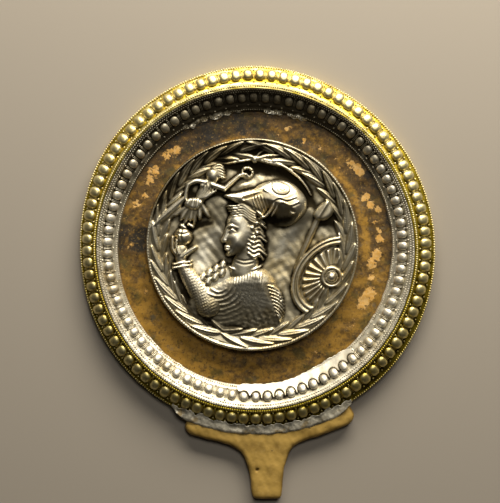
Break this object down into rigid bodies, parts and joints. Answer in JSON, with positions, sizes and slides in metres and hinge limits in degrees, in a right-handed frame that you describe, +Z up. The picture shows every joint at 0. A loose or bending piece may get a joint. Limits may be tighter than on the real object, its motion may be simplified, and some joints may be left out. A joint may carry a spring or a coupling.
{
  "type": "silver hand mirror",
  "caption": "Round ancient hand mirror, lying on its polished face: beaded gilt and silver rims round a relief medallion, and a bracket with a broken handle stub.",
  "frame": {"origin": "centre of the polished face, on the surface that the mirror lies on", "axes": "+Z up, out of the decorated back; -Y towards the handle stub; +X to the right of the decorated back"},
  "size_m": [0.14, 0.1685, 0.0109],
  "materials": {
    "plate_patina": "silver sheet tarnished golden brown, with ochre flakes; polished on the underside",
    "gilding": "worn gilding over silver, dark in the hollows",
    "worked_silver": "chased silver sheet, bright on the high places and dark in the hollows",
    "dull_silver": "dull torn silver sheet",
    "ochre_filler": "matt ochre corrosion and filler over metal"
  },
  "bodies": {
    "root": {"mirror_plate": "plate_patina", "gilt_rim": "gilding", "silver_rim": "worked_silver", "medallion": "worked_silver", "silver_strap": "dull_silver", "handle_bracket": "ochre_filler"}
  },
  "joints": []
}
